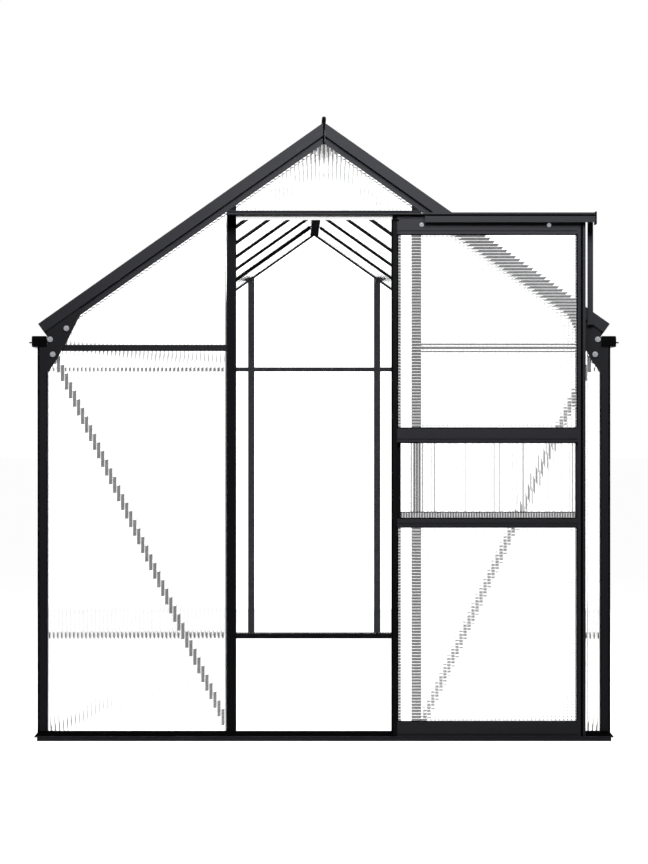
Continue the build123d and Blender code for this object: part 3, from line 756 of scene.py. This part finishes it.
gusset_spots = ((-0.0935, 0.0600), (-0.0408, 0.0245), (-0.0495, -0.0240))
back_plan = [
    (side * (post_high.x + inward), post_high.z + rise, gusset_high.y)
    for side in (-1, 1) for inward, rise in gusset_spots
]
front_plan = [(across, along, -gusset_low.y) for across, along, _ in back_plan]
bolted(
    "gusset_bolts", "shell", [(front, front_plan), (back, back_plan)],
    washer=0.0185, thickness=0.0012, head=0.0105, height=0.0038, socket=0.0052,
)
hanger_spots = ((0.0969, 0.01831), (0.5066, 0.01931))
hanger_plan = [
    (left_low.x + across, left_high.z - drop, -left_low.y) for across, drop in hanger_spots
]
bolted(
    "hanger_bolts", "sliding_door", [(front, hanger_plan)],
    washer=0.0145, thickness=0.0009, head=0.0090, height=0.0024, socket=0.0044,
)

screw_inset, outer_skin = 0.022, 0.0005
bar_screws = []
for points in loose_solids("wall_bars"):
    side = 1 if points[:, 0].mean() > 0 else -1
    low, high = points.min(0), points.max(0)
    along_wall = side * (low[1] + high[1]) / 2
    wall_face = abs(points[:, 0]).max()
    heights = (low[2] + screw_inset, high[2] - screw_inset)
    spots = [(along_wall, height, wall_face) for height in heights]
    bar_screws.append((right if side > 0 else left, spots))
for points in loose_solids("roof_bars"):
    turn = right_slope if points[:, 0].mean() > 0 else left_slope
    u, v, w = np.array(turn.to_3x3().transposed()) @ points.T
    outer = v[abs(w - w.max()) < outer_skin]
    heights = (outer.min() + 2 * screw_inset, outer.max() - 3 * screw_inset)
    spots = [((u.min() + u.max()) / 2, height, w.max()) for height in heights]
    bar_screws.append((turn, spots))
bolted(
    "bar_screws", "shell", bar_screws,
    washer=0.0120, thickness=0.0008, head=0.0085, height=0.0022, socket=0.0040,
)

# Studio: a pale floor that keeps a faint shadow, a white world, a soft box over the front as the
# main light, one at each side, and a broad panel behind that the clear sheets are seen against.
reach, floor_level = 60.0, -0.0005
floor_mesh = bpy.data.meshes.new("floor")
floor_mesh.from_pydata(
    [(x * reach, y * reach, floor_level) for x, y in ((-1, -1), (1, -1), (1, 1), (-1, 1))],
    [], [(0, 1, 2, 3)],
)
floor = bpy.data.objects.new("floor", floor_mesh)
bpy.context.scene.collection.objects.link(floor)


def seen_ray(tree):
    """One where the camera, a mirror or a clear sheet looks, nought where light is gathered."""
    path = Wire.node(tree, "ShaderNodeLightPath").socket.node
    seen = Wire(path.outputs["Is Camera Ray"]) + Wire(path.outputs["Is Glossy Ray"])
    seen = seen + Wire(path.outputs["Is Transmission Ray"])
    return seen.math("MINIMUM", seen, 1.0)


white = (1.0, 1.0, 1.0, 1.0)
floor_glow, floor_chalk = 0.965, (0.28, 0.28, 0.28, 1.0)
floor_finish, floor_tree = blank_finish("pale_floor")
glow = Wire.node(
    floor_tree, "ShaderNodeEmission", {},
    {"Color": white, "Strength": floor_glow * seen_ray(floor_tree)},
)
chalk = Wire.node(floor_tree, "ShaderNodeBsdfDiffuse", {}, {"Color": floor_chalk})
Wire.node(
    floor_tree, "ShaderNodeOutputMaterial", {},
    {"Surface": Wire.node(floor_tree, "ShaderNodeAddShader", {}, {0: glow, 1: chalk})},
)
floor_mesh.materials.append(floor_finish)

world_fill = 0.05
world = bpy.data.worlds.new("white_studio")
bpy.context.scene.world = world
world.use_nodes = True
world.node_tree.nodes.clear()
sky = Wire.node(
    world.node_tree, "ShaderNodeBackground", {},
    {"Color": white, "Strength": world_fill + (1 - world_fill) * seen_ray(world.node_tree)},
)
Wire.node(world.node_tree, "ShaderNodeOutputWorld", {}, {"Surface": sky})

for name, width, height, spread, power, place, aim in (
    ("key_box", 2.2, 0.8, 80, 50.0, (0.45, -2.95, 3.3), (0.25, -1.81, 1.8)),
    ("left_box", 4.0, 1.4, 80, 75.0, (-4.6, 0.4, 3.2), (-0.93, 0.1, 0.9)),
    ("right_box", 4.0, 1.4, 80, 75.0, (4.6, 0.4, 3.2), (0.93, 0.1, 0.9)),
    ("back_panel", 9.0, 3.4, 180, 130.0, (0.0, 3.5, 1.71), (0.0, 0.0, 1.71)),
):
    lamp = bpy.data.lights.new(name, "AREA")
    lamp.shape = "RECTANGLE"
    lamp.size, lamp.size_y = width, height
    lamp.spread = radians(spread)
    lamp.energy = power
    stand = bpy.data.objects.new(name, lamp)
    stand.location = place
    stand.rotation_euler = (Vector(aim) - Vector(place)).to_track_quat("-Z", "Y").to_euler()
    stand.visible_transmission = name == "back_panel"
    bpy.context.scene.collection.objects.link(stand)

light_paths = bpy.context.scene.cycles
light_paths.max_bounces = 32
light_paths.glossy_bounces = 16
light_paths.transmission_bounces = 32

# Camera: square on to the front gable from nearly eight metres, a little left of the middle and
# about a metre up, as the photo's vanishing point says.
front_gable, eye_distance = -1.810, 7.771
camera = bpy.data.cameras.new("camera")
camera.lens = 100.2
camera.sensor_width = 36.0
camera.shift_x = 0.0356
camera.shift_y = -0.0103
camera.clip_end = 200.0
eye = bpy.data.objects.new("camera", camera)
eye.location = (-0.0992, front_gable - eye_distance, 1.0217)
eye.rotation_euler = (radians(90), 0, 0)
bpy.context.scene.collection.objects.link(eye)
bpy.context.scene.camera = eye

bpy.context.scene.view_settings.view_transform = "Standard"
